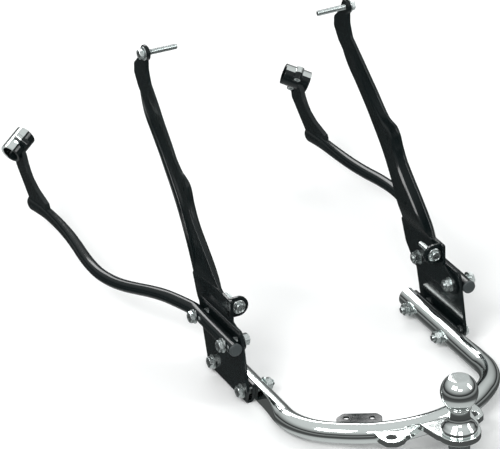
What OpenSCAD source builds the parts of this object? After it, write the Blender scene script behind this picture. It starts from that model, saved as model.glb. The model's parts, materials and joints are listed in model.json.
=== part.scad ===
// Motorcycle trailer hitch: a U-shaped receiver tube with a tow ball, carried
// by two side plates, two struts and two long arms that clamp to the frame.
// Origin at the centre of the tow ball, +Y towards the vehicle, +Z up.

/* [Tow ball] */
// Diameter of the tow ball (2 inch ball)
ball_d = 50.8; // [47:0.1:52]
// Diameter of the ball's threaded shank (3/4 inch)
shank_d = 19.05; // [16:0.05:20]

/* [Receiver tube] */
// Outside diameter of the receiver tube (1-1/8 inch)
tube_od = 28.6; // [27:0.1:29]
// Wall thickness of the receiver tube
tube_wall = 2.4; // [2:0.1:3]
// Half the distance between the two legs of the tube
leg_x = 152.5; // [152:0.1:153]
// Height of the legs below the ball centre (negative is below)
leg_z = -107; // [-108:0.5:-106]
// Front end of the legs
leg_front = 424; // [420:1:426]
// Radius of the two corner bends
corner_r = 95; // [93:1:97]
// Radius of the rear bow
rear_r = 170; // [168:1:172]
// Half the angle that the rear bow turns through
rear_a = 40; // [39:0.5:41]
// Upward tilt of the bow against the legs
tilt = 4; // [3:0.5:5]

/* [Ball mount plate] */
// Thickness of the ball mount plate
mount_t = 9; // [8:0.5:10]
// Top of the plate under the ball
seat_z = -59; // [-59.5:0.5:-59]
// Top of the plate at the safety-chain lobes
lobe_z = -91; // [-91.5:0.5:-90.5]
// Half the distance between the two chain holes
chain_x = 62; // [61:0.5:63]
// Diameter of the chain holes
chain_d = 14; // [12:0.5:15]

/* [Side plates, struts and arms] */
// Thickness of the pressed side plates and struts
plate_t = 4.5; // [4.3:0.1:4.5]
// Outside diameter of the arm tube (3/4 inch)
arm_od = 19.05; // [18.5:0.05:19.05]
// Wall thickness of the arm tube
arm_wall = 2; // [1.6:0.1:2.4]
// Bore of the frame clamps (1 inch tube)
clamp_bore = 25.4; // [25:0.1:25.6]
// Length of the frame clamps along the bore
clamp_len = 41; // [38:1:42]

/* [Fasteners] */
// Thread size of the plate bolts
bolt_d = 10; // [9.5:0.1:10]
// Thread size of the bolts that go into the vehicle
small_d = 8; // [7.8:0.1:8]
// Radial clearance of bolts in their holes
hole_gap = 0.25; // [0.2:0.05:0.3]

/* [Hidden] */

$fn = 64;
eps = 0.01;
chrome = "lightgray";
gloss_black = [0.11, 0.13, 0.14];
zinc = "silver";

// receiver tube, derived
tr = tube_od / 2;
ti = tr - tube_wall;
bow_y0 = 92;                                     // bow centre line before the tilt
straight_l = (leg_x - corner_r * (1 - sin(rear_a)) - rear_r * sin(rear_a)) / cos(rear_a);
kink_y = bow_y0 + rear_r * (1 - cos(rear_a)) + straight_l * sin(rear_a) + corner_r * cos(rear_a);
flat_x = leg_x + 5.5;                            // outside of the pressed flat
flat_y = 276;                                    // full depth of the flat starts here
flat_end = 216;                                  // the flat has run out here

// plates, derived: sheet positions across the width
in_x = flat_x;                                   // inner leg of the side plate
out_x = flat_x + 10;                             // outer wall of the side plate
out_x2 = out_x + plate_t;
strut_x = out_x - plate_t;
arm_x = out_x2 + arm_od / 2;
arm_z = -37.5;

// bolt positions [y, z]
upper = [[320, -37.5], [412, -37.5]];
lower = [[304, -107], [395.5, -107]];

// ---------------------------------------------------------------- helpers
module side(s) { if (s > 0) children(); else mirror([1, 0, 0]) children(); }
module yz(x0, t) translate([x0, 0, 0]) rotate([90, 0, 90]) linear_extrude(height = t) children();
module xcyl(x0, x1, r, y, z, f = 64) translate([x0, y, z]) rotate([0, 90, 0]) cylinder(h = x1 - x0, r = r, $fn = f);
module ycyl(y0, y1, r, x, z, f = 64) translate([x, y0, z]) rotate([-90, 0, 0]) cylinder(h = y1 - y0, r = r, $fn = f);
module zcyl(z0, z1, r, x, y, f = 64) translate([x, y, z0]) cylinder(h = z1 - z0, r = r, $fn = f);

// polygon with each corner [a, b, r] rounded by n chords
function unit(v) = v / norm(v);
function corner(p, q, s, n) =
  let (u = unit([p[0] - q[0], p[1] - q[1]]), v = unit([s[0] - q[0], s[1] - q[1]]),
       h = acos(max(-1, min(1, u * v))) / 2, r = q[2],
       c = [q[0], q[1]] + unit(u + v) * r / sin(h),
       t1 = [q[0], q[1]] + u * r / tan(h), t2 = [q[0], q[1]] + v * r / tan(h),
       a1 = atan2(t1[1] - c[1], t1[0] - c[0]), a2 = atan2(t2[1] - c[1], t2[0] - c[0]),
       d = (a2 - a1 > 180) ? a2 - a1 - 360 : (a2 - a1 < -180) ? a2 - a1 + 360 : a2 - a1)
  r < 0.01 ? [[q[0], q[1]]] : [for (i = [0:n]) c + r * [cos(a1 + d * i / n), sin(a1 + d * i / n)]];
function rounded(pts, n = 6) = let (m = len(pts))
  [for (i = [0:m - 1]) each corner(pts[(i + m - 1) % m], pts[i], pts[(i + 1) % m], n)];

// flanged hex bolt along +X from its seat at x = 0: head on the +X side
// grip: length of full shank; beyond it the free thread is drawn at its pitch diameter
module flange_bolt(d, len, flange_d, flange_t, af, head_t, grip = 0) {
  xcyl(grip ? -grip : -len, 0.5, d / 2, 0, 0);
  if (grip) xcyl(-len, -grip + 0.1, 0.45 * d, 0, 0);
  xcyl(0, flange_t, flange_d / 2, 0, 0);
  translate([flange_t - 0.2, 0, 0]) rotate([0, 90, 0]) cylinder(h = head_t + 0.2, r = af / sqrt(3), $fn = 6);
}
module washer(t, od, id) rotate([0, 90, 0]) difference() {
  cylinder(h = t, r = od / 2);
  translate([0, 0, -1]) cylinder(h = t + 2, r = id / 2);
}
module nut(t, af, id) rotate([0, 90, 0]) difference() {
  intersection() {
    cylinder(h = t, r = af / sqrt(3), $fn = 6);
    cylinder(h = t, r = af / sqrt(3) * 0.97);
  }
  translate([0, 0, -1]) cylinder(h = t + 2, r = id / 2);
}

// hollow bar from two lists of rings, each ring a closed loop of n points;
// closed: the far end is shut by both skins instead of joined by a rim
function skin(m, n, o, flip) = [for (i = [0:m - 2]) for (j = [0:n - 1]) let (k = (j + 1) % n,
    p = o + i * n + j, q = o + (i + 1) * n + j, r = o + (i + 1) * n + k, s = o + i * n + k)
  each (flip ? [[p, r, q], [p, s, r]] : [[p, q, r], [p, r, s]])];
function rim(n, o, q, flip) = [for (j = [0:n - 1]) let (k = (j + 1) % n)
  each (flip ? [[o + j, q + j, q + k], [o + j, q + k, o + k]] : [[o + j, q + k, q + j], [o + j, o + k, q + k]])];
module shell_bar(outer, inner, closed = false) {
  n = len(outer[0]);
  m = len(outer);
  mi = len(inner);
  o2 = m * n;
  polyhedron(points = concat([for (r = outer) each r], [for (r = inner) each r]),
    faces = concat(skin(m, n, 0, true), skin(mi, n, o2, false), rim(n, 0, o2, true),
      closed ? [[for (j = [0:n - 1]) (m - 1) * n + j], [for (j = [0:n - 1]) o2 + (mi - 1) * n + n - 1 - j]]
             : rim(n, (m - 1) * n, o2 + (mi - 1) * n, false)));
}

// ----------------------------------------------------------- receiver tube
// centre line of the right half in plan, from the middle of the bow forwards
half_plan = concat(
  [for (i = [0:8]) let (t = rear_a * i / 8) [rear_r * sin(t), bow_y0 + rear_r * (1 - cos(t)), t]],
  [for (i = [0:8]) let (t = rear_a + (90 - rear_a) * i / 8)
     [leg_x - corner_r * (1 - sin(t)), kink_y - corner_r * cos(t), t]],
  [for (y = [flat_end + 6, 238, 254, 268, flat_y, flat_y + 1]) [leg_x, y, 90]]);
// tilt the bow about the point where the corners meet the legs
function tilted(p) = p[1] >= kink_y ? [p[0], p[1], leg_z]
  : [p[0], kink_y - (kink_y - p[1]) * cos(tilt), leg_z + (kink_y - p[1]) * sin(tilt)];
bar_c = concat([for (i = [len(half_plan) - 1:-1:1]) let (q = tilted(half_plan[i])) [-q[0], q[1], q[2]]],
  [for (q = half_plan) tilted(q)]);
bar_n = 32;
function press(y) = y >= flat_y ? flat_x - leg_x : y <= flat_end ? 99
  : let (u = (y - flat_end) / (flat_y - flat_end)) tr + (flat_x - leg_x - tr) * (u * (2 - u));
function bar_ring(i, r, w) = let (last = len(bar_c) - 1,
    t = unit(bar_c[min(i + 1, last)] - bar_c[max(i - 1, 0)]), a = unit(cross(t, [0, 0, 1])), b = cross(a, t),
    f = press(bar_c[i][1]) - w)
  [for (j = [0:bar_n - 1]) bar_c[i] + a * min(r * cos(360 * (j + 0.5) / bar_n), f) + b * r * sin(360 * (j + 0.5) / bar_n)];
module leg(r, w) intersection() {
  ycyl(flat_y, leg_front, r, leg_x, leg_z);
  translate([leg_x - 30, flat_y - 1, leg_z - 20]) cube([30 + flat_x - leg_x - w, 150, 40]);
}
module receiver_tube() color(chrome) {
  shell_bar([for (i = [0:len(bar_c) - 1]) bar_ring(i, tr - 0.02, 0.02)],
            [for (i = [0:len(bar_c) - 1]) bar_ring(i, ti + 0.02, tube_wall - 0.02)]);
  for (m = [-1, 1]) side(m) difference() {
    leg(tr, 0);
    translate([0, -1, 0]) leg(ti, tube_wall);
    translate([0, 5, 0]) leg(ti, tube_wall);
    for (b = lower) xcyl(130, 170, bolt_d / 2 + hole_gap, b[0], b[1]);
  }
}
// plug of the front end, following the pressed flat
module tube_cap(s) side(s) color(chrome) intersection() {
  union() {
    ycyl(leg_front, leg_front + 1.5, tr, leg_x, leg_z);
    translate([leg_x, leg_front + 1.5, leg_z]) rotate([-90, 0, 0])
      rotate_extrude() polygon([[0, 0], [tr, 0], [tr - 0.8, 1.6], [tr - 2.6, 3], [tr - 6, 4.2], [0, 5]]);
  }
  translate([leg_x - 40, leg_front - 1, leg_z - 20]) cube([40 + flat_x - leg_x, 10, 40]);
}

// -------------------------------------------------------- ball mount plate
// pressed in two steps: a seat under the ball, a ramp, and a lower band with
// two lobes for the safety chains, coped to the tube
seat_r = 28.9;
tongue_x = 38;
ramp_top = 38;
ramp_bot = 70;
module mount_outline() difference() {
  union() {
    circle(r = seat_r);
    polygon([[-29.5, 0], [-31.5, 3], [-34.5, 18], [-tongue_x, ramp_top + 2],
             [tongue_x, ramp_top + 2], [34.5, 18], [31.5, 3], [29.5, 0]]);
  }
  circle(r = shank_d / 2 + 0.4);
}
module lobe_outline() polygon(rounded([
  [13, ramp_bot - 2, 0], [41, ramp_bot - 2, 0], [43.5, 66.5, 2], [50, 61, 8], [62, 58.5, 8],
  [74, 65, 8], [78, 80, 6], [77, 96, 3], [70, 118, 0], [13, 112, 0]]));
module ball_mount_plate() color(chrome) difference() {
  union() {
    translate([0, 0, seat_z - mount_t]) linear_extrude(height = mount_t) mount_outline();
    yz(-tongue_x, 2 * tongue_x) polygon([[ramp_top, seat_z], [ramp_top + 3.5, seat_z - 1.6], [ramp_bot + 2, lobe_z - 0.02],
      [ramp_bot + 2, lobe_z - mount_t], [ramp_bot - 3.8, lobe_z - mount_t], [ramp_bot - 6.5, lobe_z - mount_t + 2],
      [ramp_top - 1.5, seat_z - mount_t], [ramp_top - 4, seat_z - mount_t]]);
    translate([-14, ramp_bot - 2, lobe_z - mount_t]) cube([28, 30, mount_t]);
    for (m = [0, 1]) mirror([m, 0, 0])
      translate([0, 0, lobe_z - mount_t]) linear_extrude(height = mount_t) lobe_outline();
  }
  // front edge follows the bow and is let 1.5 mm into the tube wall
  zcyl(lobe_z - mount_t - 1, lobe_z + 5, rear_r + tr - 1.5, 0, bow_y0 + rear_r, 128);
  for (m = [-1, 1]) zcyl(lobe_z - mount_t - 1, lobe_z + 1, chain_d / 2, m * chain_x, 74);
}

// ---------------------------------------------------------------- tow ball
module hitch_ball() color(chrome) {
  intersection() {
    sphere(r = ball_d / 2, $fn = 96);
    translate([-40, -40, -20.5]) cube([80, 80, 41.9]);
  }
  rotate_extrude() polygon([[0, -20], [15, -20.4], [15.5, -22.3], [14.6, -24], [14.2, -30], [14.4, -36],
    [15.6, -41], [18.6, -45.5], [22, -48.5], [24, -51], [24.8, -53], [24.8, seat_z + 0.6], [24.2, seat_z], [0, seat_z]]);
  zcyl(seat_z - mount_t - 26, seat_z + 1, shank_d / 2, 0, 0);
}
module ball_lock_washer() color(zinc) translate([0, 0, seat_z - mount_t - 3.6])
  difference() {
    cylinder(h = 3.6, r = 16);
    translate([0, 0, -1]) cylinder(h = 6, r = shank_d / 2 + 0.3);
    translate([0, -1, -1]) rotate([0, 0, 8]) cube([20, 1.6, 6]);
  }
module ball_nut() color(zinc) translate([0, 0, seat_z - mount_t - 3.6 - 16.5])
  difference() {
    intersection() {
      cylinder(h = 16.5, r = 28.6 / sqrt(3), $fn = 6);
      cylinder(h = 16.5, r = 16.1);
    }
    translate([0, 0, -1]) cylinder(h = 20, r = shank_d / 2 + 0.05);
  }

// ------------------------------------------------------- connector bracket
// flat tab for the trailer wiring socket, on the inside of the bow
brk_a = -27;
module connector_bracket() color(gloss_black) difference() {
  translate([-75, 142, -96]) rotate([0, 0, brk_a]) linear_extrude(height = 3)
    polygon(rounded([[-31, -24, 0], [31, -24, 0], [31, 4, 12], [24, 11.5, 6], [-22, 11.5, 6], [-31, 0, 8]]));
  difference() {
    translate([-130, 60, -99]) cube([120, 100, 8]);
    zcyl(-100, -90, rear_r - tr + 1.5, 0, bow_y0 + rear_r, 128);
  }
  for (k = [-1, 1]) translate([-75, 142, 0]) rotate([0, 0, brk_a]) translate([k * 17.5, 0, 0])
    zcyl(-97, -92, 3.6, 0, 0);
}

// -------------------------------------------------------------- side plate
// pressed J: tall outer wall, folded under the tube and up again
side_low = -124.5;
module side_outline() polygon(rounded([[304, -15, 8], [438, -19, 9], [433, -48, 20], [412, side_low, 10],
  [296, side_low, 14], [287, -100, 14]]));
module inner_outline() polygon(rounded([[421, -94, 3], [412, side_low, 10], [296, side_low, 14], [288, -94, 3]]));
module side_plate(s) side(s) color(gloss_black) difference() {
  union() {
    yz(out_x, plate_t) side_outline();
    yz(in_x, plate_t) inner_outline();
    intersection() {
      yz(in_x, out_x2 - in_x) inner_outline();
      translate([in_x, 250, side_low]) cube([out_x2 - in_x, 200, plate_t]);
    }
  }
  for (b = upper) xcyl(out_x - 1, out_x2 + 1, bolt_d / 2 + hole_gap, b[0], b[1]);
  for (b = lower) xcyl(in_x - 1, out_x2 + 1, bolt_d / 2 + hole_gap, b[0], b[1]);
}

// ------------------------------------------------------------------- strut
// pressed strut: bolted foot, ear for the rear bolt, and a bent blade whose web
// stands inside the plane of the foot while its rear strip runs out to it;
// an eye at the top. Stations of the blade's middle surface, each
// [rear edge, crease, front edge] as [y, z, x]
lean = 0.5;
blade_dir = unit([0, 0.76, 0.65]);
blade_n = [0, -blade_dir[2], blade_dir[1]];
blade_p = [strut_x, 432, 40];
foot_pts = [[341, 13, 3], [366, 13, 2], [374, 14, 0], [466, 4, 4], [452, -30, 18], [424, -57, 12],
  [312, -52, 6], [303, -40, 5], [309, -27, 5], [341, -19, 2]];
stations = [
  [[353, -2, 165.75], [368, -8, 165.75], [450, -16, 165.75], 167.9],
  [[366, 10, 165.75], [374, 6, 165.75], [460, 0, 165.75], 167.9],
  [[383, 27, 168.4], [394, 20, 161.8], [472, 26, 161.8], 168.4],
  [[412, 54, 169], [422, 46, 161.2], [485, 50, 161.2], 168.6],
  [[452, 90, 169], [455, 76, 160.8], [501, 75, 160.8], 168.6],
  [[466, 112, 168], [472, 101, 160.6], [516, 94, 160.6], 168.4],
  [[471, 131, 166], [480, 121, 160.4], [533, 112, 160.4], 168],
  [[481, 141, 165.2], [490, 130, 160.3], [544, 123, 160.3], 167.8],
  [[499, 145, 164.6], [508, 135, 160.2], [557, 136, 160.2], 167.4],
  [[513, 155, 164], [524, 145, 160.1], [568, 146, 160.1], 167],
  [[532, 173, 163], [546, 160, 159.9], [590, 165, 159.9], 166.4],
  [[555, 193, 161.8], [568, 178, 159.6], [609, 180, 159.6], 165.6],
  [[578, 214, 160.2], [590, 196, 159.3], [622, 193, 159.3], 164],
  [[600, 233, 159], [612, 214, 159], [634, 211, 159], 161.5]];
eye_pts = [[592, 219, 0], [602, 236, 14], [608, 252, 12], [607, 287, 7], [621, 288, 9], [635, 263, 10], [652, 247, 6],
  [653, 232, 5], [640, 214, 10], [625, 202, 0]];
// closed skin over the stations, half thickness h, front flange w thick; the
// last number of a station is how far out the flange's tip stands
module blade(h, w) {
  n = len(stations);
  pts = [for (q = stations) let (r = q[0], c = q[1], f = q[2], t = q[3], g = f + w * unit([c[0] - f[0], c[1] - f[1], 0]))
    each [[r[2] + h, r[0], r[1]], [c[2] + h, c[0], c[1]], [g[2] + h, g[0], g[1]], [t, g[0], g[1]], [t, f[0], f[1]],
      [f[2] - h, f[0], f[1]], [g[2] - h, g[0], g[1]], [c[2] - h, c[0], c[1]], [r[2] - h, r[0], r[1]]]];
  wall = [for (i = [0:n - 2], j = [0:8])
    let (a = 9 * i + j, b = 9 * i + (j + 1) % 9) each [[a, b + 9, b], [a, a + 9, b + 9]]];
  e = 9 * (n - 1);
  cap = [[0, 1, 7], [0, 7, 8], [1, 2, 6], [1, 6, 7], [2, 3, 4], [2, 4, 5], [2, 5, 6]];
  polyhedron(pts, concat(wall, cap, [for (c = cap) [e + c[0], e + c[2], e + c[1]]]), convexity = 8);
}
module blade_frame() translate(blade_p) rotate(a = lean, v = blade_n) translate(-blade_p) children();
ear_y = 347;
eye = [614, 276];
module strut(s) side(s) color(gloss_black) difference() {
  union() {
    yz(strut_x, plate_t) polygon(rounded(foot_pts));
    blade(plate_t / 2 - 0.25, 3.2);
    blade_frame() {
      yz(strut_x - plate_t, plate_t) polygon(rounded(eye_pts));
      xcyl(strut_x - plate_t - 1.5, strut_x, 10.5, eye[0], eye[1]);
    }
    // ear, folded inwards from the rear edge
    ycyl(ear_y, ear_y + plate_t, 15, strut_x - 10.5, -1);
    translate([strut_x - 10.5, ear_y, -16]) cube([10.5 + plate_t, plate_t, 30]);
  }
  for (b = upper) xcyl(strut_x - 5, out_x + 5, bolt_d / 2 + hole_gap, b[0], b[1]);
  ycyl(ear_y - 2, ear_y + plate_t + 2, small_d / 2 + hole_gap, strut_x - 10.5, -1);
  blade_frame() {
    xcyl(strut_x - 12, strut_x + 12, small_d / 2 + hole_gap, eye[0], eye[1]);
    xcyl(strut_x - 12, strut_x + 8, 3, 494, 117, 32);
    xcyl(strut_x - 12, strut_x + 8, 4, 441, 34, 32);
  }
}
module top_bolt(s) side(s) color(zinc) blade_frame()
  translate([strut_x, eye[0], eye[1]]) flange_bolt(small_d, 50, 20, 2, 13, 7.5, 6);
module ear_bolt(s) side(s) color(zinc)
  translate([strut_x - 10.5, ear_y, -1]) rotate([0, 0, -90]) flange_bolt(small_d, 40, 20, 1.8, 13, 6, 4.5);

// --------------------------------------------------------------------- arm
// straight where it is bolted, then bent along a free curve to the front
arm_path = [[arm_x, 422, arm_z], [arm_x + 1, 431, arm_z], [186.5, 444, arm_z], [193, 465, -38], [201, 488, -39],
  [211, 513, -42], [221, 536, -46], [231, 560, -50], [239, 586, -53], [245, 616, -54], [246, 648, -54],
  [243, 682, -55], [238, 718, -57], [234, 756, -58.5], [232, 800, -60], [232, 845, -62.5], [233, 880, -67], [233.5, 897, -70]];
arm_w = [9.5, 9.5, 9.4, 9.3, 9.1, 8.8, 8.6, 8.6, 8.6, 8.6, 8.6, 8.6, 8.4, 8.0, 7.2, 6.4, 6.2, 6.0];
arm_h = [9.5, 9.5, 9.45, 9.4, 9.2, 8.9, 8.7, 8.7, 8.8, 9.0, 9.2, 9.4, 9.6, 10.0, 10.6, 11.2, 11.5, 11.5];
function cr(a, b, c, d, t) = 0.5 * (2 * b + (c - a) * t + (2 * a - 5 * b + 4 * c - d) * t * t
  + (3 * b - a - 3 * c + d) * t * t * t);
function spline(p, k) = let (m = len(p))
  [for (i = [0:m - 2]) for (j = [0:k - 1])
     cr(p[max(0, i - 1)], p[i], p[i + 1], p[min(m - 1, i + 2)], j / k), p[m - 1]];
function dirs(p) = [for (i = [0:len(p) - 1]) unit(p[min(i + 1, len(p) - 1)] - p[max(i - 1, 0)])];
arm_c = spline(arm_path, 2);
arm_cw = spline(arm_w, 2);
arm_ch = spline(arm_h, 2);
arm_t = concat([[0, 1, 0]], [for (i = [1:len(arm_c) - 1]) dirs(arm_c)[i]]);
arm_n = 20;
function arm_ring(i, w, h, push = 0) = let (t = arm_t[i], a = unit(cross(t, [0, 0, 1])), b = cross(a, t))
  [for (j = [0:arm_n - 1]) arm_c[i] + t * push + a * w * cos(360 * j / arm_n) + b * h * sin(360 * j / arm_n)];
last = len(arm_c) - 1;
// rings along the arm, rounded off at the front
function arm_rings(wall, to) = concat([for (i = [0:to]) arm_ring(i, arm_cw[i] - wall, arm_ch[i] - wall)],
  [for (k = [1:4]) let (q = 20 * k) arm_ring(to, (arm_cw[to] - wall) * (0.35 + 0.65 * cos(q)),
     (arm_ch[to] - wall) * cos(q), (arm_ch[to] - wall) * sin(q))]);
module arm_bar() shell_bar(arm_rings(0, last), arm_rings(arm_wall - 0.03, last - 1), true);
arm_rear = 300;
module arm_tube(s) side(s) color(gloss_black) {
  difference() {
    ycyl(arm_rear, 423, arm_od / 2, arm_x, arm_z);
    ycyl(arm_rear - 1, 424, arm_od / 2 - arm_wall, arm_x, arm_z);
    for (b = upper) xcyl(arm_x - 12, arm_x + 12, 7, b[0], b[1]);
  }
  arm_bar();
}
module arm_sleeves(s) side(s) color(zinc) difference() {
  for (b = upper) xcyl(out_x2, out_x2 + arm_od, 6.99, b[0], b[1]);
  for (b = upper) xcyl(out_x2 - 1, out_x2 + arm_od + 1, bolt_d / 2 + hole_gap, b[0], b[1]);
}
module arm_plug(s) side(s) color([0.17, 0.19, 0.2]) {
  ycyl(arm_rear, arm_rear + 9, arm_od / 2 - arm_wall, arm_x, arm_z);
  ycyl(arm_rear - 2, arm_rear, arm_od / 2 - 0.05, arm_x, arm_z);
  translate([arm_x, arm_rear - 2, arm_z]) rotate([90, 0, 0])
    cylinder(h = 1.2, r1 = arm_od / 2 - 0.05, r2 = arm_od / 2 - 1.4);
}

// --------------------------------------------------- front clamp and link
clamp_c = [233.5, 940, 10];
clamp_a = unit([-33, 17, 16]);
clamp_s0 = [0.577, 0.57, 0.585];
clamp_s = unit(clamp_s0 - clamp_a * (clamp_s0 * clamp_a));
clamp_t = cross(clamp_s, clamp_a);
// local X = bore axis, Y = across, Z = towards the cap
module clamp_frame() multmatrix([
  [clamp_a[0], clamp_t[0], clamp_s[0], clamp_c[0]],
  [clamp_a[1], clamp_t[1], clamp_s[1], clamp_c[1]],
  [clamp_a[2], clamp_t[2], clamp_s[2], clamp_c[2]],
  [0, 0, 0, 1]]) children();
cr_o = clamp_bore / 2 + 3.6;
scr_y = clamp_bore / 2 + 5;
module clamp_shell(lo, hi) difference() {
  union() {
    xcyl(-clamp_len / 2, clamp_len / 2, cr_o, 0, 0);
    for (k = [-1, 1]) {
      zcyl(lo, hi, 6.2, 0, k * scr_y);
      translate([-6.2, k > 0 ? 6 : -6 - scr_y + 6, lo]) cube([12.4, scr_y - 6, hi - lo]);
    }
  }
  xcyl(-clamp_len / 2 - 1, clamp_len / 2 + 1, clamp_bore / 2, 0, 0);
}
module clamp_cap(s) side(s) clamp_frame() color(chrome) difference() {
  clamp_shell(-10, 9.5);
  translate([-30, -30, -30]) cube([60, 60, 30]);
  for (k = [-1, 1]) zcyl(-1, 7.5, 3.05, 0, k * scr_y);
}
module clamp_base(s) side(s) clamp_frame() color(gloss_black) difference() {
  clamp_shell(-12, 10);
  translate([-30, -30, 0]) cube([60, 60, 30]);
  for (k = [-1, 1]) {
    zcyl(-13, 1, 3.25, 0, k * scr_y);
    zcyl(-13, -6, 5.3, 0, k * scr_y);
  }
}
module clamp_screws(s) side(s) clamp_frame() color(zinc) difference() {
  for (k = [-1, 1]) {
    zcyl(-6.5, 7, 3, 0, k * scr_y);
    zcyl(-11.5, -6, 5, 0, k * scr_y);
  }
  for (k = [-1, 1]) zcyl(-12, -8.5, 5 / sqrt(3), 0, k * scr_y, 6);
}
link_t = 7;
link_pts = [[903, -62], [947, -25], [955, 5], [932, 15], [917, 1], [911, -10], [904, -19], [894, -28], [874, -37],
  [838, -45], [835, -52], [850, -58], [880, -64]];
module link_bar(s) side(s) color(gloss_black) difference() {
  yz(232.5 - link_t / 2, link_t) polygon(link_pts);
  // saddle under the clamp, let 1 mm into it as a weld
  clamp_frame() {
    xcyl(-clamp_len / 2 - 8, clamp_len / 2 + 8, cr_o - 1, 0, 0);
    for (k = [-1, 1]) zcyl(-30, 14, 6.3, 0, k * scr_y);
    translate([-60, -60, -1]) cube([120, 120, 60]);
  }
}

// ---------------------------------------------------------------- fasteners
module upper_bolts(s) side(s) color(zinc) for (b = upper)
  translate([out_x2 + arm_od, b[0], b[1]]) flange_bolt(bolt_d, 40, 21, 2, 15, 7);
module upper_washers(s) side(s) color(zinc) for (b = upper)
  translate([strut_x - 2, b[0], b[1]]) washer(2, 21, bolt_d + 0.5);
module upper_nuts(s) side(s) color(zinc) for (b = upper)
  translate([strut_x - 10, b[0], b[1]]) nut(8, 16, bolt_d + 0.1);
module lower_bolts(s) side(s) color(zinc) for (b = lower)
  translate([out_x2, b[0], b[1]]) flange_bolt(bolt_d, 48, 21, 2, 15, 7);
module lower_washers(s) side(s) color(zinc) for (b = lower)
  translate([leg_x - tr - 2, b[0], b[1]]) washer(2, 21, bolt_d + 0.5);
module lower_nuts(s) side(s) color(zinc) for (b = lower)
  translate([leg_x - tr - 10, b[0], b[1]]) nut(8, 16, bolt_d + 0.1);
module lower_spacers(s) side(s) color(zinc) for (b = lower)
  translate([in_x + plate_t, b[0], b[1]]) washer(10 - plate_t, 16, bolt_d + 0.5);
module tube_sleeves(s) side(s) color(zinc) intersection() {
  for (b = lower) translate([leg_x - ti - 1, b[0], b[1]]) washer(flat_x - tube_wall - leg_x + ti + 1, 15, bolt_d + 0.5);
  ycyl(flat_y - 5, leg_front, ti, leg_x, leg_z);
}

receiver_tube();
ball_mount_plate();
hitch_ball();
ball_lock_washer();
ball_nut();
connector_bracket();
tube_cap(-1);  // left_tube_cap
side_plate(-1);  // left_side_plate
strut(-1);  // left_strut
top_bolt(-1);  // left_top_bolt
ear_bolt(-1);  // left_ear_bolt
arm_tube(-1);  // left_arm_tube
arm_sleeves(-1);  // left_arm_sleeves
arm_plug(-1);  // left_arm_plug
link_bar(-1);  // left_link_bar
clamp_base(-1);  // left_clamp_base
clamp_cap(-1);  // left_clamp_cap
clamp_screws(-1);  // left_clamp_screws
upper_bolts(-1);  // left_upper_bolts
upper_washers(-1);  // left_upper_washers
upper_nuts(-1);  // left_upper_nuts
lower_bolts(-1);  // left_lower_bolts
lower_washers(-1);  // left_lower_washers
lower_nuts(-1);  // left_lower_nuts
lower_spacers(-1);  // left_lower_spacers
tube_sleeves(-1);  // left_tube_sleeves
tube_cap(1);  // right_tube_cap
side_plate(1);  // right_side_plate
strut(1);  // right_strut
top_bolt(1);  // right_top_bolt
ear_bolt(1);  // right_ear_bolt
arm_tube(1);  // right_arm_tube
arm_sleeves(1);  // right_arm_sleeves
arm_plug(1);  // right_arm_plug
link_bar(1);  // right_link_bar
clamp_base(1);  // right_clamp_base
clamp_cap(1);  // right_clamp_cap
clamp_screws(1);  // right_clamp_screws
upper_bolts(1);  // right_upper_bolts
upper_washers(1);  // right_upper_washers
upper_nuts(1);  // right_upper_nuts
lower_bolts(1);  // right_lower_bolts
lower_washers(1);  // right_lower_washers
lower_nuts(1);  // right_lower_nuts
lower_spacers(1);  // right_lower_spacers
tube_sleeves(1);  // right_tube_sleeves
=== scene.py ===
# Looks of a motorcycle trailer hitch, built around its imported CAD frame.
# Row frame: origin at the ball centre, +Y towards the vehicle, +Z up. Lengths below are in mm.
import json
import math

import bmesh
import bpy
import numpy as np
from mathutils import Matrix, Vector
from mathutils.geometry import tessellate_polygon

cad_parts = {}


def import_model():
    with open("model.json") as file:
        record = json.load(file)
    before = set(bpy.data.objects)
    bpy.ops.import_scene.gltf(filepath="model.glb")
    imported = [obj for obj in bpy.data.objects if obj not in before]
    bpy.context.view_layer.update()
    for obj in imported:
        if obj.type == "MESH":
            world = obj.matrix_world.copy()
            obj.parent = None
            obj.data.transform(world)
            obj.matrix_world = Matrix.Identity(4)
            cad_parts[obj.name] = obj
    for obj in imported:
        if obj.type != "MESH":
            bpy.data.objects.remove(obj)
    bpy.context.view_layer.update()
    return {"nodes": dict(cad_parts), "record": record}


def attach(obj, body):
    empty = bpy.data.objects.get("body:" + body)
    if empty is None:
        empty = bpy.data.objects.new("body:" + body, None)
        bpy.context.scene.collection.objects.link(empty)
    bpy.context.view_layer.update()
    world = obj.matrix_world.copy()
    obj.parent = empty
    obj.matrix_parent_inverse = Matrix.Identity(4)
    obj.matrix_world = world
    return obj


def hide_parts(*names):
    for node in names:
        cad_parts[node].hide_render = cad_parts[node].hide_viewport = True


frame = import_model()
NODES = frame["nodes"]
ROOT = "hitch"


# ------------------------------------------------------------------ camera
def make_camera():
    a, e, roll = math.radians(25.10), math.radians(27.87), math.radians(-1.98)
    d = Vector((math.sin(a) * math.cos(e), math.cos(a) * math.cos(e), -math.sin(e)))
    r0 = Vector((math.cos(a), -math.sin(a), 0))
    u0 = r0.cross(d)
    c, s = math.cos(roll), math.sin(roll)
    r, u = c * r0 + s * u0, -s * r0 + c * u0
    cam = bpy.data.cameras.new("cam")
    cam.lens, cam.sensor_width = 247.1, 36.0
    cam.clip_start, cam.clip_end = 0.1, 100
    ob = bpy.data.objects.new("cam", cam)
    bpy.context.scene.collection.objects.link(ob)
    m = Matrix((r, u, -d)).transposed().to_4x4()
    m.translation = Vector((-1.8809, -3.3876, 2.3020))
    ob.matrix_world = m
    bpy.context.scene.camera = ob


make_camera()


# --------------------------------------------------------------- materials
def new_mat(name):
    m = bpy.data.materials.new(name)
    m.use_nodes = True
    nt = m.node_tree
    return m, nt, nt.nodes["Principled BSDF"]


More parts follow.
